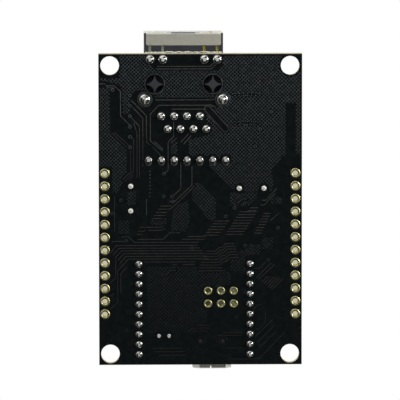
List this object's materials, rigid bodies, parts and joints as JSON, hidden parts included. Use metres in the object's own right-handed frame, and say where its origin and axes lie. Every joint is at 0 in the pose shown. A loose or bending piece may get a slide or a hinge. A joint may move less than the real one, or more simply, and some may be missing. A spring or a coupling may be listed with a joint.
{
  "type": "network development board",
  "caption": "Black network development board: shielded network jack, radio module sockets, USB socket, crystals, controller chips, plated pads along both edges and four corner holes.",
  "frame": {"origin": "centre of the four mounting holes, on the solder side of the board", "axes": "+Z from the solder side to the component side, +Y along the board away from the network jack, +X across the board"},
  "size_m": [0.0401, 0.0667, 0.0166],
  "materials": {
    "board": "black solder mask over glass laminate",
    "gold": "flash gold plate",
    "shield": "tin plated folded sheet",
    "black_plastic": "moulded black plastic",
    "contact": "gold plated spring metal",
    "tinned": "tinned wire",
    "solder": "bright solder",
    "green_light": "tinted clear moulding",
    "yellow_light": "tinted clear moulding",
    "can": "drawn metal can",
    "sleeve": "shrunk sleeve and pressed top",
    "chip": "fine moulded epoxy",
    "ceramic": "fired ceramic",
    "resistor": "glazed film",
    "indicator": "clear moulding"
  },
  "bodies": {
    "root": {"circuit_board": "board", "left_edge_pads": "gold", "right_edge_pads": "gold", "programming_pads": "gold", "network_jack_shield": "shield", "network_jack_housing": "black_plastic", "network_jack_insert": "black_plastic", "network_jack_springs": "contact", "network_jack_pins": "tinned", "link_light": "green_light", "activity_light": "yellow_light", "link_light_leads": "tinned", "activity_light_leads": "tinned", "radio_socket_left": "black_plastic", "radio_socket_right": "black_plastic", "radio_socket_left_contacts": "contact", "radio_socket_right_contacts": "contact", "seven_way_socket": "black_plastic", "seven_way_socket_contacts": "contact", "controller_crystal": "can", "network_crystal": "can", "controller_crystal_leads": "tinned", "network_crystal_leads": "tinned", "smoothing_capacitor": "sleeve", "smoothing_capacitor_leads": "tinned", "usb_shell": "shield", "usb_insert": "black_plastic", "usb_contacts": "contact", "microcontroller": "chip", "microcontroller_leads": "tinned", "network_controller": "chip", "network_controller_leads": "tinned", "voltage_regulator": "chip", "voltage_regulator_leads": "tinned", "chip_resistors": "resistor", "chip_resistor_ends": "tinned", "chip_capacitors": "ceramic", "chip_capacitor_ends": "tinned", "indicator_lights": "indicator", "indicator_light_ends": "tinned", "jack_pin_solder": "solder", "jack_light_solder": "solder", "jack_ground_solder": "solder", "seven_way_solder": "solder", "radio_socket_solder": "solder", "crystal_solder": "solder", "capacitor_solder": "solder"}
  },
  "joints": []
}
